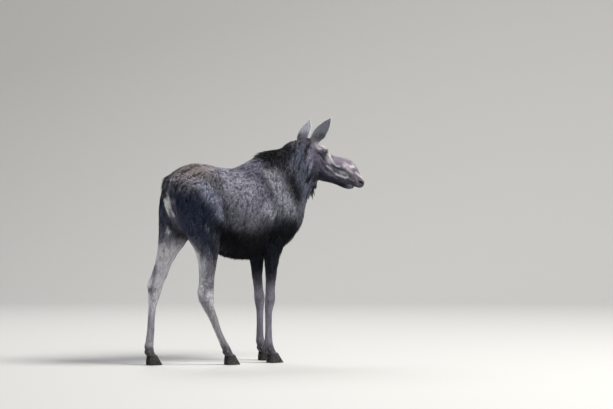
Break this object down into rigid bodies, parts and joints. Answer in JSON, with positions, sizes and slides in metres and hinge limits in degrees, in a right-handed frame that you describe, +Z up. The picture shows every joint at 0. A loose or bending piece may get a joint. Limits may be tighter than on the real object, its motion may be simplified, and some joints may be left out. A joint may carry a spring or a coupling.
{
  "type": "moose",
  "caption": "Still, life-size cow moose standing with her head up: dark coarse coat, pale lower legs, long overhanging nose, tall ears and cloven hooves.",
  "frame": {"origin": "middle of her bounding box, on the floor", "axes": "+Z up, +X the way she faces, +Y her left"},
  "size_m": [2.0618, 0.596, 2.1167],
  "materials": {
    "dark_coat": "coarse blackish brown to grey hair, straight and close-lying",
    "neck_coat": "long coarse grey and black hair, hanging",
    "face_coat": "short velvety grey-brown hair",
    "leg_coat": "short, close, pale grey hair",
    "ear_coat": "short pale grey hair with a dark hollow",
    "hoof_horn": "black hoof horn, dull, with fine growth rings",
    "eye": "wet, very dark brown"
  },
  "bodies": {
    "root": {"bell": "neck_coat", "dewclaw_foreleg_left_inner": "hoof_horn", "dewclaw_foreleg_left_outer": "hoof_horn", "dewclaw_foreleg_right_inner": "hoof_horn", "dewclaw_foreleg_right_outer": "hoof_horn", "dewclaw_hindleg_left_inner": "hoof_horn", "dewclaw_hindleg_left_outer": "hoof_horn", "dewclaw_hindleg_right_inner": "hoof_horn", "dewclaw_hindleg_right_outer": "hoof_horn", "ear_left": "ear_coat", "ear_right": "ear_coat", "eye_left": "eye", "eye_right": "eye", "foreleg_left_cannon": "leg_coat", "foreleg_left_forearm": "dark_coat", "foreleg_left_pastern": "leg_coat", "foreleg_left_shoulder": "dark_coat", "foreleg_right_cannon": "leg_coat", "foreleg_right_forearm": "dark_coat", "foreleg_right_pastern": "leg_coat", "foreleg_right_shoulder": "dark_coat", "head": "face_coat", "hindleg_left_cannon": "leg_coat", "hindleg_left_gaskin": "leg_coat", "hindleg_left_pastern": "leg_coat", "hindleg_left_thigh": "dark_coat", "hindleg_right_cannon": "leg_coat", "hindleg_right_gaskin": "leg_coat", "hindleg_right_pastern": "leg_coat", "hindleg_right_thigh": "dark_coat", "hoof_foreleg_left_inner": "hoof_horn", "hoof_foreleg_left_outer": "hoof_horn", "hoof_foreleg_right_inner": "hoof_horn", "hoof_foreleg_right_outer": "hoof_horn", "hoof_hindleg_left_inner": "hoof_horn", "hoof_hindleg_left_outer": "hoof_horn", "hoof_hindleg_right_inner": "hoof_horn", "hoof_hindleg_right_outer": "hoof_horn", "neck": "neck_coat", "tail": "dark_coat", "trunk": "dark_coat"}
  },
  "joints": []
}
